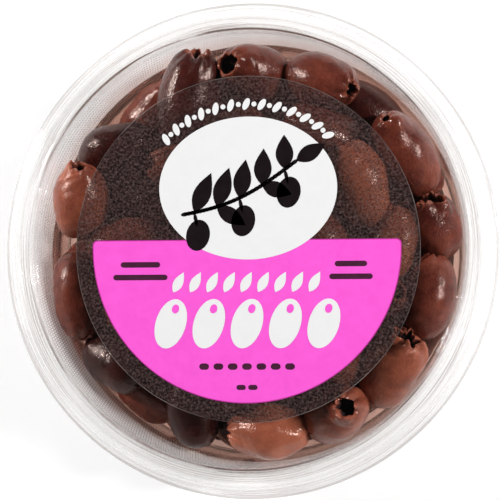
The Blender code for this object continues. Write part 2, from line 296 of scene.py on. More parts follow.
# Camera and light
CAMERA_DISTANCE = 0.65
CAMERA_TARGET = Vector((0, 0, 0.031))
CAMERA_TILT_X = math.radians(8.0)
CAMERA_TILT_Y = math.radians(-3.0)
FRAME_PIXELS = 500
PIXELS_PER_MM = 4.21
VIEW_WIDTH = FRAME_PIXELS / PIXELS_PER_MM * MM
SENSOR = 36.0
TENT_LIGHT = 0.2
TENT_TOP = math.sin(math.radians(25))
TENT_OPENING = math.sin(math.radians(65))
OPENING_LIGHT = 0.03
FLOOR_GLOW = 0.6
FLOOR_SIZE = 3.0
FLOOR_LEVEL = -0.02 * MM

# Lamps: name, tilt from straight up, azimuth from +X towards +Y, distance, width and length, power
LAMPS = (
    ("softbox_right", 56, 12, 0.9, (0.10, 0.20), 9.3),
    ("softbox_left", 66, 156, 0.9, (0.09, 0.20), 9.6),
)


def heading_axis(heading, tilt):
    """The unit vector of an olive's axis, towards its pitted end."""
    turn, lift = math.radians(heading), math.radians(tilt)
    flat = math.cos(lift)
    return np.array((flat * math.cos(turn), flat * math.sin(turn), math.sin(lift)))


def hidden_olives(draw):
    """Olives spread evenly over each layer on a sunflower spiral, with headings drawn at random."""
    golden = math.pi * (3 - math.sqrt(5))
    for height, count, reach in HIDDEN_LAYERS:
        for index in range(count):
            radius = reach * math.sqrt((index + 0.5) / count)
            turn = index * golden + height
            heading = draw.uniform(0, 360)
            tilt = draw.uniform(*HIDDEN_TILT)
            length = OLIVE_LENGTH * draw.uniform(*HIDDEN_LENGTH)
            width = OLIVE_WIDTH * draw.uniform(*HIDDEN_WIDTH)
            yield radius * math.cos(turn), radius * math.sin(turn), height, heading, tilt, length, width


def push_apart(balls, radii, owner):
    """How far each ball has to move so that no two olives are pressed together by more than SQUASH."""
    apart = balls[:, None] - balls[None, :]
    distance = np.linalg.norm(apart, axis=2) + 1e-9
    overlap = radii[:, None] + radii[None, :] - SQUASH - distance
    overlap[owner[:, None] == owner[None, :]] = 0
    overlap = np.clip(overlap, 0, None)
    return (apart / distance[:, :, None] * overlap[:, :, None]).sum(axis=1) * PUSH_SHARE


def push_inside(balls, radii):
    """How far each ball has to move to be inside the pot and under the lid."""
    push = np.zeros_like(balls)
    push[:, 2] += np.clip(HEAP_FLOOR + radii - balls[:, 2], 0, None)
    push[:, 2] -= np.clip(balls[:, 2] + radii - HEAP_TOP, 0, None)
    reach = np.linalg.norm(balls[:, :2], axis=1) + 1e-9
    wall = HEAP_WALL_FOOT + HEAP_WALL_SLOPE * balls[:, 2]
    excess = np.clip(reach + radii - wall, 0, None)
    push[:, :2] -= balls[:, :2] / reach[:, None] * excess[:, None]
    return push


def settled_olives():
    """Every olive as (centre, axis, length, width), moved until they lie beside and on each other.

    An olive is tested as a row of balls inside it, carried by the two ends of its axis.
    """
    draw = np.random.RandomState(HEAP_SEED)
    rows = [row[:7] for row in SEEN_OLIVES] + list(hidden_olives(draw))
    count = len(rows)
    centre = np.array([row[:3] for row in rows], float)
    axis = np.array([heading_axis(row[3], row[4]) for row in rows])
    length = np.array([row[5] for row in rows])
    width = np.array([row[6] for row in rows])
    half = length / 2
    reach = (half**2 - (width / 2) ** 2) / half
    start = np.stack((centre - axis * reach[:, None], centre + axis * reach[:, None]), axis=1)
    ends = start.copy()
    steps = np.linspace(0, 1, HEAP_BALLS)
    along = (2 * steps - 1)[None, :] * reach[:, None]
    radii = width[:, None] / 2 * np.sqrt(1 - along**2 / (half**2 - (width / 2) ** 2)[:, None])
    owner = np.repeat(np.arange(count), len(steps))
    loose = np.where(np.arange(count) < len(SEEN_OLIVES), SEEN_LOOSE, 1.0)[:, None, None]
    for _ in range(SETTLE_STEPS):
        balls = ends[:, :1] * (1 - steps)[None, :, None] + ends[:, 1:] * steps[None, :, None]
        flat = balls.reshape(-1, 3)
        apart = push_apart(flat, radii.reshape(-1), owner).reshape(count, len(steps), 3)
        inside = push_inside(flat, radii.reshape(-1)).reshape(count, len(steps), 3)
        push = apart * loose + inside
        near = (push * (1 - steps)[None, :, None]).sum(axis=1)
        far = (push * steps[None, :, None]).sum(axis=1)
        ends += np.stack((near, far), axis=1) * 0.5
        ends[:, :, 2] -= SINK_STEP * loose[:, :, 0]
        ends += (start - ends) * (1 - loose) * RETURN_SHARE
        middle = ends.mean(axis=1)
        axis = ends[:, 1] - ends[:, 0]
        axis /= np.linalg.norm(axis, axis=1)[:, None]
        ends = np.stack((middle - axis * reach[:, None], middle + axis * reach[:, None]), axis=1)
    return list(zip(ends.mean(axis=1), axis, length, width))


def place_thing(name, data):
    thing = bpy.data.objects.new(name, data)
    bpy.context.scene.collection.objects.link(thing)
    return thing


def add_piece(name, points, faces, material, stands_for=(), sharp=35, attributes=None):
    """A mesh piece that rides on the body, with its material and the CAD nodes it stands for."""
    mesh = bpy.data.meshes.new(name)
    mesh.from_pydata([tuple(point) for point in points], [], [tuple(face) for face in faces])
    for key, values in (attributes or {}).items():
        layer = mesh.attributes.new(key, "FLOAT", "POINT")
        layer.data.foreach_set("value", np.asarray(values, np.float32))
    work = bmesh.new()
    work.from_mesh(mesh)
    bmesh.ops.recalc_face_normals(work, faces=work.faces)
    work.to_mesh(mesh)
    work.free()
    mesh.materials.append(material)
    mesh.shade_smooth()
    mesh.set_sharp_from_angle(angle=math.radians(sharp))
    piece = place_thing(name, mesh)
    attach(piece, BODY)
    for node in stands_for:
        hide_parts(node)
    return piece


class Nodes:
    """A short way to write nodes. A value is a number, a colour or another node's output."""

    def __init__(self, name, owner=None):
        self.owner = owner or bpy.data.materials.new(name)
        self.owner.use_nodes = True
        self.tree = self.owner.node_tree
        self.tree.nodes.clear()

    def add(self, kind, **inputs):
        node = self.tree.nodes.new(kind)
        for key, value in inputs.items():
            self.put(node, key.replace("_", " "), value)
        return node

    def put(self, node, key, value):
        socket = node.inputs[key]
        if isinstance(value, bpy.types.NodeSocket):
            self.tree.links.new(value, socket)
        else:
            socket.default_value = (*value, 1) if socket.type == "RGBA" else value

    def math(self, operation, first, second=0.0, clamp=False):
        node = self.add("ShaderNodeMath")
        node.operation = operation
        node.use_clamp = clamp
        self.put(node, 0, first)
        self.put(node, 1, second)
        return node.outputs[0]

    def times(self, first, *others):
        for other in others:
            first = self.math("MULTIPLY", first, other)
        return first

    def plus(self, first, *others):
        for other in others:
            first = self.math("ADD", first, other)
        return first

    def place(self):
        return self.add("ShaderNodeTexCoord").outputs["Object"]

    def attribute(self, name):
        node = self.add("ShaderNodeAttribute")
        node.attribute_name = name
        return node.outputs["Fac"]

    def noise(self, scale, detail=2.0, roughness=0.5, place=None):
        node = self.add("ShaderNodeTexNoise", Scale=scale, Detail=detail, Roughness=roughness)
        self.put(node, "Vector", place or self.place())
        return node.outputs["Fac"]

    def band(self, value, low, high, to_low=0.0, to_high=1.0):
        limits = {"From_Min": low, "From_Max": high, "To_Min": to_low, "To_Max": to_high}
        return self.add("ShaderNodeMapRange", Value=value, **limits).outputs["Result"]

    def varied(self, low, high, scale, detail=3, roughness=0.5):
        """A value that wanders between two limits over the surface."""
        return self.band(self.noise(scale, detail, roughness), 0.3, 0.7, low, high)

    def ramp(self, value, stops):
        node = self.add("ShaderNodeValToRGB", Fac=value)
        points = node.color_ramp.elements
        while len(points) < len(stops):
            points.new(0.5)
        for point, (position, colour) in zip(points, stops):
            point.position = position
            point.color = (*colour, 1)
        return node.outputs["Color"]

    def mottled(self, colours, scale, detail=3, roughness=0.5):
        """A colour that wanders between two over the surface."""
        return self.ramp(self.noise(scale, detail, roughness), ((0.3, colours[0]), (0.7, colours[1])))

    def mix(self, factor, first, second):
        node = self.add("ShaderNodeMix")
        node.data_type = "RGBA"
        for index, value in ((0, factor), (6, first), (7, second)):
            self.put(node, index, value)
        return node.outputs[2]

    def bump(self, height, strength, distance):
        node = self.add("ShaderNodeBump", Strength=strength, Distance=distance, Height=height)
        return node.outputs["Normal"]

    def principled(self, **inputs):
        return self.add("ShaderNodeBsdfPrincipled", **inputs).outputs[0]

    def mix_shaders(self, factor, first, second):
        node = self.add("ShaderNodeMixShader")
        for index, value in enumerate((factor, first, second)):
            self.put(node, index, value)
        return node.outputs[0]

    def finish(self, shader):
        self.add("ShaderNodeOutputMaterial", Surface=shader)
        return self.owner

    def clear_finish(self, shader, shadow_colour):
        """Lets light through to what lies inside, where real clear plastic would focus it."""
        in_shadow = self.add("ShaderNodeLightPath").outputs["Is Shadow Ray"]
        open_to_light = self.add("ShaderNodeBsdfTransparent", Color=shadow_colour).outputs[0]
        return self.finish(self.mix_shaders(in_shadow, shader, open_to_light))


def off_axis(mat):
    """The radius from Z, the unit vector away from Z, and the height."""
    split = mat.add("ShaderNodeSeparateXYZ", Vector=mat.place())
    x, y, z = (split.outputs[axis] for axis in "XYZ")
    radius = mat.math("SQRT", mat.plus(mat.times(x, x), mat.times(y, y)))
    return radius, mat.math("DIVIDE", x, radius), mat.math("DIVIDE", y, radius), z


def streaks(mat, pitch, run):
    """Fine uneven streaks that run round the pot: bumps in the moulded plastic, and lines in the tint, which
    on the lid's rim are painted refraction lines.
    """
    radius, away_x, away_y, z = off_axis(mat)
    across = mat.math("DIVIDE", mat.plus(radius, z), pitch)
    round_x, round_y = mat.times(away_x, run), mat.times(away_y, run)
    place = mat.add("ShaderNodeCombineXYZ", X=across, Y=round_x, Z=round_y)
    return mat.noise(1.0, 1, 0.5, place.outputs[0])


def clear_plastic(mat, tint, normal, roughness, milky, bent_share):
    """Thin see-through plastic with a gloss, part of which bends the light and part of which is milky."""
    surface = {"Roughness": roughness, "Normal": normal}
    straight = mat.add("ShaderNodeBsdfTransparent", Color=tint).outputs[0]
    bent = mat.principled(Base_Color=PLASTIC, IOR=1.4, Transmission_Weight=1.0, **surface)
    milk = mat.principled(Base_Color=MILK, Roughness=0.5)
    body = mat.mix_shaders(milky, mat.mix_shaders(bent_share, straight, bent), milk)
    facing = mat.add("ShaderNodeLayerWeight", Blend=0.5, Normal=normal).outputs["Facing"]
    steep = mat.times(mat.math("POWER", facing, 5.0), 0.8)
    surface["Roughness"] = mat.plus(roughness, 0.06)
    gloss = mat.principled(Base_Color=(1, 1, 1), Metallic=1.0, **surface)
    return mat.mix_shaders(mat.plus(steep, 0.02), body, gloss)


def painted_rim_edge_line(mat, radius, along_y):
    """A painted broken dark line at the rim's inner edge, standing for the olives' brown refracted in the
    steep recess wall, strongest at the far and near sides.
    """
    rise = mat.band(radius, RIM_INNER - 0.2 * MM, RIM_INNER - 0.05 * MM)
    fall = mat.band(radius, RIM_INNER + 0.25 * MM, RIM_INNER + 0.1 * MM)
    broken = mat.band(streaks(mat, 3 * MM, 2.5), 0.42, 0.52)
    return mat.times(rise, fall, broken, mat.band(along_y, 0.1, 0.6, 0.2, 1.0))


def clear_lid_material():
    """Clear over the panel and streaked on the rim, which has painted shade that makes it greyer at its far
    and near sides.
    """
    mat = Nodes("clear_lid")
    fine = streaks(mat, 0.4 * MM, 1.6)
    broad = streaks(mat, 1.5 * MM, 1.4)
    radius, _, away_y, _ = off_axis(mat)
    along_y = mat.math("ABSOLUTE", away_y)
    on_rim = mat.band(radius, PANEL_RADIUS, RIM_INNER)
    tint = mat.mix(mat.band(broad, 0.4, 0.7), RIM_TINT, RIM_SHADE)
    # Painted shade: greyer towards the far and near sides, which the side lamps light less
    tint = mat.mix(mat.times(away_y, away_y, 0.9), tint, RIM_PAINTED_SHADE)
    tint = mat.mix(on_rim, PANEL_TINT, tint)
    # Painted fine dark lines that stand for the rim's refraction
    tint = mat.mix(mat.times(on_rim, mat.band(fine, 0.6, 0.66)), tint, RIM_PAINTED_LINES)
    # Painted shade: a grey outline along the outer edge, where the clear skirt is seen edge-on
    tint = mat.mix(mat.band(radius, LIP_RADIUS - 0.65 * MM, LIP_RADIUS - 0.4 * MM), tint, LIP_EDGE_SHADE)
    # Painted dark line at the rim's inner edge
    tint = mat.mix(painted_rim_edge_line(mat, radius, along_y), tint, RIM_EDGE_PAINTED)
    aside = mat.band(along_y, 0.85, 0.3, 0.0, 0.2)
    milky = mat.plus(mat.band(broad, 0.3, 0.7, 0.05, 0.0), mat.band(fine, 0.42, 0.36, 0.0, 0.15), aside)
    height = mat.times(on_rim, mat.plus(fine, mat.times(broad, 2.0)))
    normal = mat.bump(height, 0.2, 0.1 * MM)
    roughness = mat.times(on_rim, mat.varied(0.01, 0.05, 300))
    shader = clear_plastic(mat, tint, normal, roughness, mat.times(on_rim, milky), mat.times(on_rim, 0.1))
    return mat.clear_finish(shader, LID_SHADOW)


def stipple_mask(mat):
    """The pot's stippled band, and the fine dots in its staggered rows, as 1 there and 0 elsewhere."""
    radius, away_x, away_y, z = off_axis(mat)
    around = mat.times(mat.math("ARCTAN2", away_y, away_x), round(MOUTH_RADIUS / STIPPLE_PITCH))
    up = mat.math("DIVIDE", z, STIPPLE_RISE)
    slanted = mat.plus(around, mat.times(up, -0.5))
    above = mat.plus(mat.math("FRACT", up), -0.5)
    aside = mat.plus(mat.math("FRACT", slanted), -0.5)
    aside = mat.plus(aside, mat.times(above, 0.5))
    reach = mat.plus(mat.times(aside, aside), mat.times(above, above))
    dot = mat.band(mat.math("SQRT", reach), 0.4, 0.3)
    low = mat.band(z, STIPPLE_BOTTOM - MM, STIPPLE_BOTTOM + MM)
    high = mat.band(z, STIPPLE_TOP, STIPPLE_TOP - MM)
    wall = mat.plus(mat.times(z, WALL_SLOPE), WALL_FOOT * MM + POT_WALL / 2)
    zone = mat.times(mat.math("LESS_THAN", radius, wall), low, high)
    return zone, mat.times(dot, zone)


def clear_pot_material():
    """Clear, with the brine's colour low down, a shaded side, streaks and the stippled band."""
    mat = Nodes("clear_pot")
    zone, dots = stipple_mask(mat)
    fine = streaks(mat, 0.5 * MM, 4)
    radius, away_x, away_y, z = off_axis(mat)
    towards = mat.plus(mat.times(away_x, SHADED_SIDE[0]), mat.times(away_y, SHADED_SIDE[1]))
    shaded = mat.band(towards, 0.6, 0.95)
    tint = mat.mix(mat.band(z, 15 * MM, 29 * MM), POT_LOW_TINT, POT_TINT)
    tint = mat.mix(mat.times(shaded, 0.8), tint, POT_SHADE)
    tint = mat.mix(mat.band(fine, 0.55, 0.7, 0.0, 0.35), tint, POT_STREAK)
    tint = mat.mix(mat.band(z, 9 * MM, 4 * MM), tint, POT_FOOT)
    tint = mat.mix(mat.band(radius, MOUTH_RADIUS - MM, MOUTH_RADIUS), tint, POT_MOUTH)
    normal = mat.bump(mat.plus(mat.times(dots, 0.8), fine), 0.2, 0.15 * MM)
    milky = mat.times(dots, mat.band(shaded, 0.0, 1.0, 0.3, 0.65))
    milky = mat.plus(mat.times(zone, shaded, 0.35), milky)
    shader = clear_plastic(mat, tint, normal, mat.varied(0.0, 0.04, 220), milky, 0.08)
    return mat.clear_finish(shader, POT_SHADOW)


def brine_material():
    mat = Nodes("brine")
    tint = mat.mix(mat.noise(60, 3), *BRINE_TINTS)
    normal = mat.bump(mat.noise(90, 2), 0.05, 0.5 * MM)
    clear = mat.principled(Base_Color=tint, Roughness=0.02, IOR=1.12, Normal=normal, Transmission_Weight=1.0)
    murk = mat.principled(Base_Color=mat.mix(mat.noise(150, 3), *MURK_TINTS), Roughness=0.3)
    return mat.clear_finish(mat.mix_shaders(0.03, clear, murk), BRINE_SHADOW)


def olive_material():
    mat = Nodes("olive_skin")
    tone, flesh = mat.attribute("tone"), mat.attribute("flesh")
    patches = mat.varied(-0.14, 0.14, 130, 3, 0.6)
    mottle = mat.varied(-0.07, 0.07, 480, 3, 0.6)
    speckle = mat.varied(-0.05, 0.05, 2000, 2, 0.6)
    uneven = mat.times(mat.plus(patches, mottle, speckle), mat.band(tone, 0.0, 0.5, 0.3, 1.0))
    skin = mat.ramp(mat.math("ADD", tone, uneven, clamp=True), SKIN)
    torn = mat.mottled(TORN_FLESH, 700, 3, 0.6)
    colour = mat.mix(mat.band(flesh, 0.0, 1.0), skin, torn)
    # Deep in the pit hole the colour becomes painted shade
    colour = mat.mix(mat.band(flesh, 1.0, 2.0), colour, PIT_PAINTED_SHADE)
    pores = mat.plus(mat.noise(2400, 1, 0.6), mat.times(mat.noise(700, 2), 0.35))
    gloss = {"Specular_IOR_Level": 0.5, "Specular_Tint": SKIN_GLOSS}
    gloss["Roughness"] = mat.band(mat.noise(500, 3), 0.35, 0.65, 0.13, 0.27)
    normal = mat.bump(pores, 0.6, 0.16 * MM)
    return mat.finish(mat.principled(Base_Color=colour, Normal=normal, **gloss))


def shade_core_material():
    # The dark core: painted shade, a near-black mottle
    mat = Nodes("heap_shade_core")
    return mat.finish(mat.principled(Base_Color=mat.mottled(CORE_PAINTED_SHADE, 200), Roughness=0.6))


def film_material():
    """Clear film with a dark speckled tint, clearer where an olive touches the lid below it."""
    mat = Nodes("label_film")
    grain = mat.noise(2300, 2, 0.7)
    cover = mat.band(grain, 0.38, 0.62, 0.15, 0.6)
    cover = mat.times(cover, mat.band(mat.attribute("contact"), 0.0, 1.0, 1.0, 0.3))
    speck = mat.ramp(mat.noise(1700, 2, 0.7), SPECKS)
    normal = mat.bump(grain, 0.1, 0.05 * MM)
    tint = mat.principled(Base_Color=speck, Roughness=0.5, Specular_IOR_Level=0.15, Normal=normal)
    clear = mat.add("ShaderNodeBsdfTransparent").outputs[0]
    return mat.clear_finish(mat.mix_shaders(cover, clear, tint), FILM_SHADOW)


def ink_material(name, roughness=0.45, scale=400):
    """Printed ink with a faint mottle and the film's slight unevenness."""
    mat = Nodes(name)
    colour = mat.mottled(INKS[name], scale, 3, 0.6)
    gloss = mat.varied(roughness - 0.05, roughness + 0.08, 600, 2)
    normal = mat.bump(mat.noise(250, 2), 0.05, 0.1 * MM)
    shader = mat.principled(Base_Color=colour, Roughness=gloss, Specular_IOR_Level=0.1, Normal=normal)
    return mat.finish(shader)


def floor_material():
    mat = Nodes("pale_floor")
    surface = {"Base_Color": mat.mottled(FLOOR_GREYS, 8, 2), "Roughness": 0.8, "Specular_IOR_Level": 0.1}
    return mat.finish(mat.principled(Emission_Color=(1, 1, 1), Emission_Strength=FLOOR_GLOW, **surface))


def filleted(points):
    """A profile whose corners, given as (radius, height, corner radius), are rounded by short arcs."""
    smooth = [points[0][:2]]
    for before, corner, after in zip(points, points[1:], points[2:]):
        middle = np.array(corner[:2])
        to_before = np.array(before[:2]) - middle
        to_after = np.array(after[:2]) - middle
        room_before, room_after = np.linalg.norm(to_before), np.linalg.norm(to_after)
        to_before, to_after = to_before / room_before, to_after / room_after
        angle = math.acos(float(np.clip(to_before @ to_after, -1, 1)))
        round_radius = corner[2] if len(corner) > 2 else 0
        cut = min(round_radius / math.tan(angle / 2), 0.45 * room_before, 0.45 * room_after)
        if cut < 1e-6:
            smooth.append(tuple(middle))
            continue
        first, last = middle + to_before * cut, middle + to_after * cut
        steps = max(2, math.ceil((math.pi - angle) / ROUND_ANGLE))
        for step in range(steps + 1):
            share = step / steps
            point = (1 - share) ** 2 * first + 2 * share * (1 - share) * middle + share**2 * last
            smooth.append(tuple(point))
    smooth.append(points[-1][:2])
    return with_flat_runs(smooth)


def with_flat_runs(profile):
    """The profile with points near both ends of each long run, so that shading bends only at corners."""
    result = [profile[0]]
    for start, end in zip(profile, profile[1:]):
        start, end = np.array(start), np.array(end)
        run = np.linalg.norm(end - start)
        if run > 4 * END_STEP:
            steps = max(1, round(run / LONG_STEP))
            shares = [END_STEP / run] + [step / steps for step in range(1, steps)] + [1 - END_STEP / run]
            result += [tuple(start + (end - start) * share) for share in shares]
        result.append(tuple(end))
    return result


def shell_loop(profile, wall):
    """The closed section of a shell whose upper face is the profile, from the axis out and back."""
    points = np.array(profile)
    runs = np.diff(points, axis=0)
    runs /= np.linalg.norm(runs, axis=1)[:, None]
    normals = np.stack((-runs[:, 1], runs[:, 0]), axis=1)
    before = np.vstack((normals[:1], normals))
    after = np.vstack((normals, normals[-1:]))
    mean = before + after
    mean /= (mean * before).sum(axis=1)[:, None]
    behind = points - mean * wall
    kept = [behind[0]]
    for point, run in zip(behind[1:], runs):
        if (point - kept[-1]) @ run > 0:
            kept.append(point)
    return [tuple(point) for point in points] + [tuple(point) for point in kept[::-1]]


def turned(loop, turns, push=None):
    """Points and faces of a section turned round Z to the given angles. push moves a point in or out."""
    points, faces, rows = [], [], []
    for radius, height in loop:
        if radius < 1e-6:
            rows.append([len(points)] * len(turns))
            points.append((0, 0, height))
            continue
        rows.append(list(range(len(points), len(points) + len(turns))))
        for turn in turns:
            reach = radius + (push(radius, height, turn) if push else 0)
            points.append((reach * math.sin(turn), reach * math.cos(turn), height))
    for low, high in zip(rows, rows[1:] + rows[:1]):
        for index in range(len(turns)):
            following = (index + 1) % len(turns)
            corners = dict.fromkeys((low[index], low[following], high[following], high[index]))
            if len(corners) > 2:
                faces.append(tuple(corners))
    return points, faces


def even_turns(count):
    return [2 * math.pi * index / count for index in range(count)]


def lid_profile():
    """From the middle of the panel out, up the recess wall, over the rim and down the skirt to its lip."""
    groove_half = GROOVE_WIDTH / 2
    return filleted([
        (0, PANEL_TOP),
        (PANEL_RADIUS, PANEL_TOP, 0.35 * MM),
        (PANEL_RADIUS + 0.35 * MM, PANEL_TOP + 0.5 * MM, 0.2 * MM),
        (RIM_INNER - 0.35 * MM, LID_TOP - 0.35 * MM, 0.4 * MM),
        (RIM_INNER, LID_TOP, 0.3 * MM),
        (GROOVE_RADIUS - groove_half - 0.2 * MM, LID_TOP, 0.2 * MM),
        (GROOVE_RADIUS - groove_half + 0.1 * MM, LID_TOP - GROOVE_DEPTH, 0.2 * MM),
        (GROOVE_RADIUS + groove_half - 0.1 * MM, LID_TOP - GROOVE_DEPTH, 0.2 * MM),
        (GROOVE_RADIUS + groove_half + 0.2 * MM, LID_TOP, 0.2 * MM),
        (RIM_OUTER + 0.2 * MM, LID_TOP, 0.7 * MM),
        (RIM_OUTER + 0.9 * MM, LID_TOP - 1.9 * MM, 2.0 * MM),
        (SKIRT_RADIUS, LIP_BOTTOM + 1.8 * MM, 1.0 * MM),
        (SKIRT_RADIUS + 0.4 * MM, LIP_BOTTOM + 0.95 * MM, 0.5 * MM),
        (LIP_RADIUS - 0.15 * MM, LIP_BOTTOM + 0.55 * MM, 0.3 * MM),
        (LIP_RADIUS, LIP_BOTTOM + 0.05 * MM),
    ])


def lug_turns():
    return [LUG_FIRST + turn for turn in even_turns(LUG_COUNT)]


def lug_push(radius, height, turn):
    """Moves the recess wall inwards at each pointed lug."""
    if not PANEL_RADIUS - 0.4 * MM < radius < RIM_INNER + 0.1 * MM:
        return 0
    push = 0
    for middle in lug_turns():
        away = abs((turn - middle + math.pi) % (2 * math.pi) - math.pi) * radius
        push -= LUG_DEPTH * max(0, 1 - away / LUG_HALF_WIDTH)
    return push


def make_lid(material):
    fine = [middle + offset * LUG_ANGLE for middle in lug_turns() for offset in range(-7, 8)]
    turns = sorted(even_turns(ROUND_STEPS) + [turn % (2 * math.pi) for turn in fine])
    turns = [turn for index, turn in enumerate(turns) if index == 0 or turn - turns[index - 1] > 0.002]
    points, faces = turned(shell_loop(lid_profile(), LID_WALL), turns, lug_push)
    return add_piece("lid_clear", points, faces, material, ["lid"])


def pot_profile():
    """From the middle of the floor out, up inside the wall, and over the flange to its lip."""
    ledge_radius = MOUTH_RADIUS - LEDGE_WIDTH
    return filleted([
        (0, POT_WALL + FLOOR_RISE),
        (FOOT_INNER - 1.5 * MM, POT_WALL + FLOOR_RISE, 1.0 * MM),
        (FOOT_INNER, POT_WALL, 1.0 * MM),
        (BASE_RADIUS - 0.55 * MM, POT_WALL, CORNER_RADIUS),
        (ledge_radius - 0.2 * MM, LEDGE_TOP - 2.5 * MM, 3 * MM),
        (ledge_radius, LEDGE_TOP - 0.5 * MM, 0.4 * MM),
        (MOUTH_RADIUS - 0.1 * MM, LEDGE_TOP, 0.4 * MM),
        (MOUTH_RADIUS + 0.05 * MM, FLANGE_TOP - 0.05 * MM, 0.6 * MM),
        (FLANGE_RADIUS, FLANGE_TOP, 0.5 * MM),
        (FLANGE_RADIUS + 0.1 * MM, FLANGE_TOP - FLANGE_LIP),
    ])


def make_pot(material):
    points, faces = turned(shell_loop(pot_profile(), POT_WALL), even_turns(ROUND_STEPS))
    return add_piece("pot_clear", points, faces, material, ["pot"])


def make_brine(material):
    """Liquid that reaches just into the wall, with its edge drawn up the wall."""
    into = BRINE_INTO_WALL
    inside = [point for point in pot_profile() if point[1] < BRINE_LEVEL]
    floor_line = [(radius + into * (radius > 0), height - into) for radius, height in inside]
    wall = [point for point in pot_profile() if point[0] > BASE_RADIUS - CORNER_RADIUS]
    radii, heights = zip(*wall[:-3])
    edge = float(np.interp(BRINE_LEVEL + MENISCUS, heights, radii))
    surface = [(edge + into, BRINE_LEVEL + MENISCUS), (edge, BRINE_LEVEL + MENISCUS)]
    for step in range(1, 7):
        share = step / 6
        surface.append((edge - MENISCUS_RUN * share, BRINE_LEVEL + MENISCUS * (1 - share) ** MENISCUS_POWER))
    flat = [(share * edge, BRINE_LEVEL) for share in (0.93, 0.92, 0.8, 0.4, 0)]
    points, faces = turned(floor_line + surface + flat, even_turns(ROUND_STEPS // 2))
    return add_piece("brine", points, faces, material)


def wave_sum(draw, turn, along, waves, lowest, highest):
    """A smooth uneven field over an olive's skin, between about -1 and 1."""
    total = np.zeros(np.broadcast(turn, along).shape)
    for _ in range(waves):
        around = draw.randint(lowest, highest + 1)
        rise = draw.uniform(0.5, highest)
        phase = draw.uniform(0, 2 * math.pi)
        total += np.sin(around * turn + rise * along + phase)
    return total / math.sqrt(waves)


def dents(draw, turn, polar, count, deepest):
    """Shallow pressed places."""
    depth = np.zeros(np.broadcast(turn, polar).shape)
    for _ in range(count):
        at_turn, at_polar = draw.uniform(0, 2 * math.pi), draw.uniform(0.6, 2.5)
        wide, tall = draw.uniform(0.3, 0.8), draw.uniform(0.25, 0.7)
        away = (1 - np.cos(turn - at_turn)) / wide**2 + ((polar - at_polar) / tall) ** 2
        depth += draw.uniform(0.3, 1) * deepest * np.exp(-away)
    return depth


def skin_rows(draw, turn, half, radius, pit, ragged, rings):
    """An olive's skin from its foot up to the pit hole's lip, as radii and heights, row by row."""
    lip_angle = math.asin(min(0.65, pit / radius))
    polar = np.linspace(math.pi, lip_angle, rings)[1:, None]
    blunt = draw.uniform(0.8, 0.95)
    along = half * np.cos(polar)
    across = radius * np.sin(polar) ** blunt * (1 - OLIVE_TAPER * np.cos(polar))
    near_pit = np.exp(-(polar - lip_angle) / 0.4)
    near_foot = np.exp(-(math.pi - polar) / 0.3)
    lump = 0.3 * wave_sum(draw, turn, 2 * polar, 5, 0, 3)
    wrinkle = 0.045 * wave_sum(draw, turn, 3 * polar, 6, 3, 9)
    folds = draw.randint(5, 9)
    fold = np.abs(np.sin(folds * turn / 2 + 1.2 * np.sin(turn + draw.uniform(0, 6)) + 0.8 * polar))
    fold = (fold - 0.75) * (near_pit * (0.5 + 0.9 * ragged) + 0.4 * near_foot)
    shift = lump + wrinkle * (1 + 2 * near_pit) + fold - dents(draw, turn, polar, 3, 0.9)
    across = across + shift * np.sin(polar)
    along = along + shift * 0.6 * np.cos(polar)
    level = np.zeros((1, 1))
    tear = 0.2 * ragged * wave_sum(draw, turn, level, 5, 1, 6)
    lip_lift = 0.55 * ragged * wave_sum(draw, turn, level, 6, 1, 8)
    return across * (1 + tear * near_pit**2), along + lip_lift * near_pit**2


def with_pit_hole(draw, turn, across, along, pit, ragged):
    """The skin's rows followed by the pit hole's, and for each how much torn flesh shows, up to 2 deep in the
    hole where painted shade darkens it.
    """
    flesh = np.zeros_like(across)
    flesh[-2:-1] = 0.25 * ragged
    flesh[-1:] = 0.7
    rows_across, rows_along, rows_flesh = [across], [along], [flesh]
    for share, depth, flesh_or_shade in PIT_ROWS:
        wobble = 1 + 0.07 * wave_sum(draw, turn, np.full((1, 1), depth), 4, 1, 6)
        rows_across.append(across[-1:] * share * wobble)
        rows_along.append(along[-1:] - depth * min(1.0, pit / 1.8))
        rows_flesh.append(np.full_like(across[-1:], flesh_or_shade))
    return np.vstack(rows_across), np.vstack(rows_along), np.vstack(rows_flesh).reshape(-1)


def olive_faces(count, sides):
    """Faces between the rows, and round the middle points of the foot and the hole, which follow them."""
    faces = []
    for side in range(sides):
        following = (side + 1) % sides
        for low in range(0, count - sides, sides):
            high = low + sides
            faces.append((low + side, low + following, high + following, high + side))
        faces.append((count, following, side))
        faces.append((count - sides + side, count - sides + following, count + 1))
    return faces


def olive_points(draw, length, width, pit, ragged, sides, rings):
    """One olive along +Z, pitted end up: its points, faces and flesh.

    flesh is 0 on the skin, 1 on torn flesh at the pit hole's edge and 2 deep in the hole, which takes a
    painted shade.
    """
    half = length / 2
    turn = np.linspace(0, 2 * math.pi, sides, endpoint=False)[None, :]
    across, along = skin_rows(draw, turn, half, width / 2, pit, ragged, rings)
    across, along, flesh = with_pit_hole(draw, turn, across, along, pit, ragged)
    bend = draw.uniform(-0.8, 0.8) * (along / half) ** 2
    points = np.stack((across * np.cos(turn) + bend, across * np.sin(turn), along), axis=2).reshape(-1, 3)
    foot = points[:sides].mean(axis=0, keepdims=True) - ((0, 0, 0.05),)
    bottom = points[-sides:].mean(axis=0, keepdims=True)
    faces = olive_faces(len(points), sides)
    return np.vstack((points, foot, bottom)), faces, np.append(flesh, (0.0, 2.0))


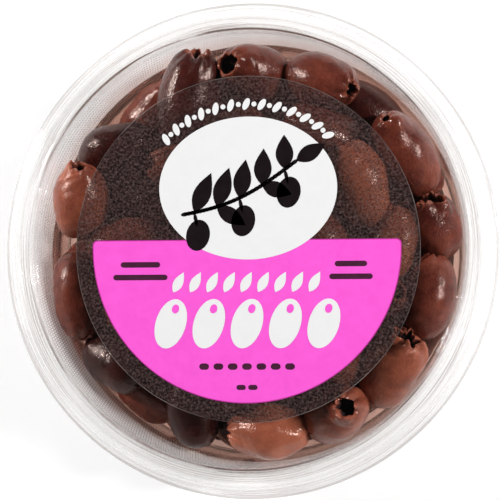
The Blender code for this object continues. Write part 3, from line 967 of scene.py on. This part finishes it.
def curled(points, axis, half, curl):
    """Points about an olive's centre, with its pitted end curled upwards."""
    if curl == 0:
        return points
    up = np.array((0, 0, 1.0)) - axis * axis[2]
    up /= np.linalg.norm(up)
    along, above = points @ axis, points @ up
    aside = points - along[:, None] * axis - above[:, None] * up
    start = 0.15 * half
    past = np.clip(along - start, 0, None)
    turn = math.radians(curl) * np.clip(past / (half - start), 0, 1.1)
    along = np.minimum(along, start) + past * np.cos(turn) - above * np.sin(turn)
    above = past * np.sin(turn) + above * np.cos(turn)
    return aside + along[:, None] * axis + above[:, None] * up


def eased(value, limit, softness):
    """The value, kept below a limit by a soft bend that starts a little before it."""
    over = np.clip(value - (limit - softness), 0, None)
    return np.where(over > 0, limit - softness * np.exp(-over / softness), value)


def pressed_inside(points):
    """Points kept below the lid, inside the wall and above the pot's floor, as pressed soft fruit is."""
    points = points.copy()
    points[:, 2] = eased(points[:, 2], OLIVE_TOP, 0.6)
    points[:, 2] = -eased(-points[:, 2], -HEAP_FLOOR + 0.2, 0.3)
    reach = np.linalg.norm(points[:, :2], axis=1)
    wall = WALL_FOOT + WALL_SLOPE * points[:, 2]
    points[:, :2] *= (eased(reach, wall, 0.5) / reach)[:, None]
    return points


def turned_to(points, axis, roll):
    """Points turned from +Z to an axis, after a roll about it."""
    spin = Vector(axis).to_track_quat("Z", "Y").to_matrix()
    cos, sin = math.cos(roll), math.sin(roll)
    rolled = points @ np.array(((cos, sin, 0), (-sin, cos, 0), (0, 0, 1)))
    return rolled @ np.array(spin).T


def make_olives(spots, material):
    """The olives in two pieces: the upper ones with a finer mesh, the ones below with a coarser one."""
    draw = np.random.RandomState(HEAP_SEED + 1)
    groups = {"olives_upper": ([], [], [], []), "olives_lower": ([], [], [], [])}
    for index, (centre, axis, length, width) in enumerate(spots):
        seen = index < len(SEEN_OLIVES)
        drawn = [] if seen else [draw.uniform(*span) for span in HIDDEN_LOOKS]
        tone, pit, ragged, curl = drawn or SEEN_OLIVES[index][7:]
        upper = seen or centre[2] > FINE_FROM
        mesh = FINE_MESH if upper else COARSE_MESH
        points, faces, flesh = olive_points(draw, length, width, pit, ragged, *mesh)
        points = turned_to(points, axis, draw.uniform(0, 2 * math.pi))
        points = pressed_inside(curled(points, axis, length / 2, curl) + centre)
        group = groups["olives_upper" if upper else "olives_lower"]
        first = sum(len(part) for part in group[0])
        group[0].append(points * MM)
        group[1].extend(tuple(corner + first for corner in face) for face in faces)
        group[2].append(np.full(len(points), tone))
        group[3].append(flesh)
    for name, (points, faces, tone, flesh) in groups.items():
        attributes = {"tone": np.concatenate(tone), "flesh": np.concatenate(flesh)}
        add_piece(name, np.vstack(points), faces, material, ["olives"], 50, attributes)


def make_shade_core(material):
    """A dark mass, painted shade for the depth of the heap, which the olives lie round."""
    corners = (
        (0, CORE_TOP),
        (CORE_RADIUS, CORE_TOP, 3),
        (CORE_RADIUS, CORE_FOOT_TOP, 1),
        (CORE_FOOT_RADIUS, CORE_FOOT_TOP, 1),
        (CORE_FOOT_RADIUS, CORE_FOOT_BOTTOM, 1),
        (0, CORE_FOOT_BOTTOM),
    )
    loop = filleted([tuple(number * MM for number in corner) for corner in corners])
    points, faces = turned(loop, even_turns(CORE_SIDES))
    return add_piece("heap_shade_core", points, faces, material, ["olives"])


def moved(outline, x, y, turn):
    """An outline turned about its origin, which is then moved to x, y."""
    cos, sin = math.cos(turn), math.sin(turn)
    return [(x + first * cos - second * sin, y + first * sin + second * cos) for first, second in outline]


def ellipse(centre_x, centre_y, half_x, half_y, turn=0.0, steps=64):
    outline = [(half_x * math.cos(angle), half_y * math.sin(angle)) for angle in even_turns(steps)]
    return moved(outline, centre_x, centre_y, turn)


def leaf(base_x, base_y, length, width, turn, steps=12):
    """A pointed leaf that starts at its base and grows along the turn."""
    shares = [step / steps for step in range(steps)]
    side = [(length * share, width / 2 * math.sin(math.pi * share**0.85)) for share in shares]
    side.append((length, 0))
    return moved(side + [(x, -y) for x, y in side[-2:0:-1]], base_x, base_y, turn)


def arc(centre_x, centre_y, radius, start, end, steps):
    """Points along an arc, with both its ends."""
    angles = [start + (end - start) * step / steps for step in range(steps + 1)]
    return [(centre_x + radius * math.cos(angle), centre_y + radius * math.sin(angle)) for angle in angles]


def bar(centre_x, centre_y, length, height):
    """A bar with round ends."""
    straight, quarter = (length - height) / 2, math.pi / 2
    right = arc(centre_x + straight, centre_y, height / 2, -quarter, quarter, 8)
    return right + arc(centre_x - straight, centre_y, height / 2, quarter, 3 * quarter, 8)


def field_outline(grow=0.0):
    """The label's lower field: a disc cut off by a straight top with rounded corners."""
    radius = FIELD_RADIUS + grow
    corner_y = FIELD_TOP_Y + grow - FIELD_CORNER
    corner_x = math.sqrt((radius - FIELD_CORNER) ** 2 - (corner_y - FIELD_CENTRE_Y) ** 2)
    edge = math.atan2(corner_y - FIELD_CENTRE_Y, corner_x)
    right = arc(FIELD_CENTRE_X + corner_x, corner_y, FIELD_CORNER, edge, math.pi / 2, 6)
    left = arc(FIELD_CENTRE_X - corner_x, corner_y, FIELD_CORNER, math.pi / 2, math.pi - edge, 6)
    below = arc(FIELD_CENTRE_X, FIELD_CENTRE_Y, radius, math.pi - edge, 2 * math.pi + edge, 96)
    return right + left + below[1:-1]


def print_piece(name, outlines, level, material):
    """Flat shapes printed on the label, as a thin solid layer at its own level."""
    low = LABEL_HIGH[2] + level * PRINT_STEP * MM
    points, faces = [], []
    for outline in outlines:
        below = range(len(points), len(points) + len(outline))
        above = range(below.stop, below.stop + len(outline))
        for height in (low, low + PRINT_STEP * MM):
            points += [(x * MM, y * MM, height) for x, y in outline]
        faces += [tuple(reversed(below)), tuple(above)]
        faces += zip(below, [*below[1:], below[0]], [*above[1:], above[0]], above)
    return add_piece(name, points, faces, material)


def sprig_outlines():
    """An olive sprig for the oval: a curved stem with pairs of leaves, and fruits hanging below it."""
    start_x, start_y, run, rise, sag, steps = STEM
    stem = []
    for step in range(steps + 1):
        share = step / steps
        y = start_y + rise * share - sag * math.sin(math.pi * share)
        stem.append((OVAL[0] + start_x + run * share, OVAL[1] + y))
    outlines = []
    for first, last in zip(stem, stem[1:]):
        turn = math.atan2(last[1] - first[1], last[0] - first[0])
        outlines.append(ellipse((first[0] + last[0]) / 2, (first[1] + last[1]) / 2, *STEM_DOT, turn, 12))
    for index, step in enumerate(LEAF_STEPS):
        x, y = stem[step]
        along = math.atan2(stem[step + 1][1] - y, stem[step + 1][0] - x)
        for length, shorter, width, lean in (UPPER_LEAF, LOWER_LEAF)[:1 + index % 2]:
            outlines.append(leaf(x, y, length - shorter * index, width, along + lean))
        if index % 2 == 0:
            outlines.append(leaf(x, y, *STALK))
            outlines.append(ellipse(x + FRUIT[0], y + FRUIT[1], *FRUIT[2:]))
    outlines.append(leaf(*stem[-1], *END_LEAF))
    return outlines


def arch_outlines():
    """Dots and short leaves along an arch over the oval."""
    centre_x, centre_y, half_x, half_y = OVAL
    start, end, count, gap, dot, size, lean = ARCH
    outlines = []
    for index in range(count):
        angle = start + (end - start) * index / (count - 1)
        x = centre_x + (half_x + gap) * math.cos(angle)
        y = centre_y + (half_y + gap) * math.sin(angle)
        if index % 2:
            outlines.append(ellipse(x, y, dot, dot, 0, 20))
        else:
            slant = math.atan2(math.cos(angle), -math.sin(angle)) + lean
            outlines.append(ellipse(x, y, *size, slant, 24))
    return outlines


def row_places(count, first_x, pitch, y):
    return [(first_x + pitch * index, y) for index in range(count)]


def white_row_outlines():
    """A row of large slanting olives, and above it a finer row of leaves, in white."""
    olives = [ellipse(x, y, *WHITE_OLIVE, WHITE_LEAN) for x, y in row_places(*WHITE_OLIVES)]
    return olives + [leaf(x, y, *WHITE_LEAF) for x, y in row_places(*WHITE_LEAVES)]


def white_row_pits():
    """The pit holes of the large white olives, in the field's colour."""
    aside, above, *size = WHITE_PIT
    places = row_places(*WHITE_OLIVES)
    return [ellipse(x + aside, y + above, *size, WHITE_LEAN, 24) for x, y in places]


def dark_bar_outlines():
    """Short dark bars at both sides of the field and below the large row, and the dashes."""
    dashes = [(x, y, *DASHES[4:]) for x, y in row_places(*DASHES[:4])]
    return [bar(*row) for row in (*DARK_BARS, *dashes)]


def film_contact(places, spots):
    """How close the nearest olive comes to the lid below each place, from 0, far, to 1, touching."""
    under_lid = (PANEL_TOP - LID_WALL) / MM
    nearest = np.full(len(places), FAR)
    for centre, axis, length, width in spots:
        flat = places[:, :2] - centre[:2]
        along = flat @ axis[:2]
        across = np.sqrt(np.clip((flat**2).sum(axis=1) - along**2, 0, None))
        share = (along / (length / 2)) ** 2 + (across / (width / 2)) ** 2
        crown = centre[2] + width / 2 * np.sqrt(np.clip(1 - share, 0, None))
        nearest = np.minimum(nearest, np.where(share < 1, under_lid - crown, FAR))
    return np.clip(1 - (nearest - CONTACT_FULL) / CONTACT_FADE, 0, 1)


def make_film(spots, material, edge_highlight_material):
    """The film disc, with how close the nearest olive comes to it, and the painted highlight along its cut
    edge.
    """
    top = LABEL_HIGH[2]
    outer, inner = LABEL_RADIUS - EDGE_INSET, LABEL_RADIUS - EDGE_WIDTH
    radii = [LABEL_RADIUS * (index / FILM_RINGS) for index in range(FILM_RINGS)] + [inner]
    loop = [(radius, top) for radius in radii]
    loop += [(LABEL_RADIUS, top - 0.08 * MM), (LABEL_RADIUS, LABEL_LOW[2]), (0, LABEL_LOW[2])]
    points, faces = turned(loop, even_turns(FILM_SIDES))
    contact = {"contact": film_contact(np.array(points) / MM, spots)}
    add_piece("label_sheet", points, faces, material, ["label"], 35, contact)
    # The cut edge's painted highlight: a thin lighter ring on the film
    low, high = top + EDGE_LOW, top + EDGE_HIGH
    loop = [(inner, low), (outer, low), (outer, high), (inner, high)]
    points, faces = turned(loop, even_turns(FILM_EDGE_SIDES))
    add_piece("label_edge_highlight", points, faces, edge_highlight_material)


def make_label(spots):
    make_film(spots, film_material(), ink_material("film_edge_highlight", 0.25, 60))
    names = ("ink_white", "ink_pink", "ink_plum", "ink_dark", "ink_brown")
    white, pink, plum, dark, brown = map(ink_material, names)
    print_piece("print_field_edge", [field_outline(FIELD_EDGE)], 0, plum)
    print_piece("print_field", [field_outline()], 1, pink)
    print_piece("print_oval", [ellipse(*OVAL, 0, 128)], 2, white)
    print_piece("print_sprig", sprig_outlines(), 3, dark)
    print_piece("print_arch", arch_outlines(), 1, white)
    print_piece("print_white_row", white_row_outlines(), 2, white)
    print_piece("print_pits", white_row_pits(), 3, pink)
    print_piece("print_dark_bars", dark_bar_outlines(), 2, brown)


def make_floor():
    mesh = bpy.data.meshes.new("floor")
    corners = [(x * FLOOR_SIZE, y * FLOOR_SIZE, FLOOR_LEVEL) for x, y in ((-1, -1), (1, -1), (1, 1), (-1, 1))]
    mesh.from_pydata(corners, [], [(0, 1, 2, 3)])
    mesh.materials.append(floor_material())
    floor = place_thing("floor", mesh)


def softbox(name, tilt, azimuth, distance, size, power):
    """A rectangular lamp that faces the pot."""
    lamp = bpy.data.lights.new(name, "AREA")
    lamp.shape = "RECTANGLE"
    lamp.size, lamp.size_y = size
    lamp.energy = power
    tilt, azimuth = math.radians(tilt), math.radians(azimuth)
    away = Vector((math.sin(tilt) * math.cos(azimuth), math.sin(tilt) * math.sin(azimuth), math.cos(tilt)))
    light = place_thing(name, lamp)
    light.location = CAMERA_TARGET + away * distance
    light.rotation_euler = away.to_track_quat("Z", "Y").to_euler()


def make_world():
    """A white tent with a dark opening above, where the camera looks in."""
    nodes = Nodes("studio", bpy.data.worlds.new("studio"))
    place = nodes.add("ShaderNodeTexCoord").outputs["Generated"]
    height = nodes.add("ShaderNodeSeparateXYZ", Vector=place).outputs["Z"]
    light = nodes.band(height, TENT_TOP, TENT_OPENING, TENT_LIGHT, OPENING_LIGHT)
    light.node.interpolation_type = "SMOOTHSTEP"
    background = nodes.add("ShaderNodeBackground", Color=(1, 1, 1), Strength=light)
    nodes.add("ShaderNodeOutputWorld", Surface=background.outputs[0])
    bpy.context.scene.world = nodes.owner


def make_light():
    for row in LAMPS:
        softbox(*row)
    make_world()


def make_camera():
    away = Vector((math.sin(CAMERA_TILT_X), math.sin(CAMERA_TILT_Y), 1)).normalized()
    data = bpy.data.cameras.new("camera")
    data.sensor_width = SENSOR
    data.lens = SENSOR * CAMERA_DISTANCE / VIEW_WIDTH
    data.clip_start = 0.01
    camera = place_thing("camera", data)
    camera.location = CAMERA_TARGET + away * CAMERA_DISTANCE
    right = Vector((0, 1, 0)).cross(away).normalized()
    up = away.cross(right)
    camera.rotation_euler = Matrix((right, up, away)).transposed().to_euler()
    bpy.context.scene.camera = camera


def main():
    make_camera()
    make_light()
    make_floor()
    spots = settled_olives()
    make_pot(clear_pot_material())
    make_lid(clear_lid_material())
    make_brine(brine_material())
    make_olives(spots, olive_material())
    make_shade_core(shade_core_material())
    make_label(spots)
    bpy.context.scene.view_settings.view_transform = "Standard"


main()
